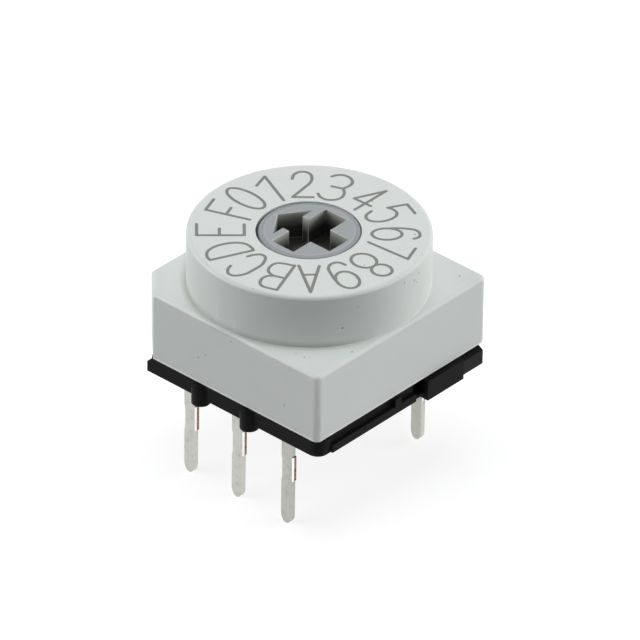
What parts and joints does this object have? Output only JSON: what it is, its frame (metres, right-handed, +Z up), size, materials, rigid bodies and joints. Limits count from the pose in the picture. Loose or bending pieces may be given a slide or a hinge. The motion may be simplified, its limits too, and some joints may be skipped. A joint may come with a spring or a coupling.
{
  "type": "rotary dip switch",
  "caption": "Square through-hole rotary dip switch with a round boss, a screwdriver-slotted rotor inside a hexadecimal dial ring, a black base with standoffs and straight pins.",
  "frame": {"origin": "on the rotor's axis, level with the tips of the pins", "axes": "+Z up along the rotor's axis, out of the dial; -X towards the dial's zero; the row of pins seen in the picture lies towards -Y"},
  "size_m": [0.0104, 0.0104, 0.0105],
  "materials": {
    "housing": "moulded light grey polyester, satin",
    "base": "moulded black polyester",
    "rotor": "moulded mid grey polyamide",
    "seal": "moulded silicone rubber",
    "laminate": "glass laminate",
    "gold": "gold plate on copper",
    "terminal": "stamped copper alloy, tin plated",
    "wiper": "stamped bronze strip, gold plated",
    "spring": "rolled spring steel"
  },
  "bodies": {
    "switch_body": {"housing": "housing", "base": "base", "detent_spring_right": "spring", "detent_spring_left": "spring", "terminal_common_front": "terminal", "terminal_common_rear": "terminal", "terminal_bit_1": "terminal", "terminal_bit_2": "terminal", "terminal_bit_4": "terminal", "terminal_bit_8": "terminal", "wiper_common_front": "wiper", "wiper_common_rear": "wiper", "wiper_bit_1": "wiper", "wiper_bit_2": "wiper", "wiper_bit_4": "wiper", "wiper_bit_8": "wiper"},
    "rotor": {"rotor": "rotor", "rotor_seal_ring": "seal", "code_disc": "laminate", "code_track": "gold"}
  },
  "joints": [
    {"name": "rotor_turn", "type": "hinge", "parent": "switch_body", "child": "rotor", "pos_m": [0, 0, 0.01], "axis": [0, 0, 1], "continuous": true, "deforming": ["detent_spring_right", "detent_spring_left"]}
  ]
}
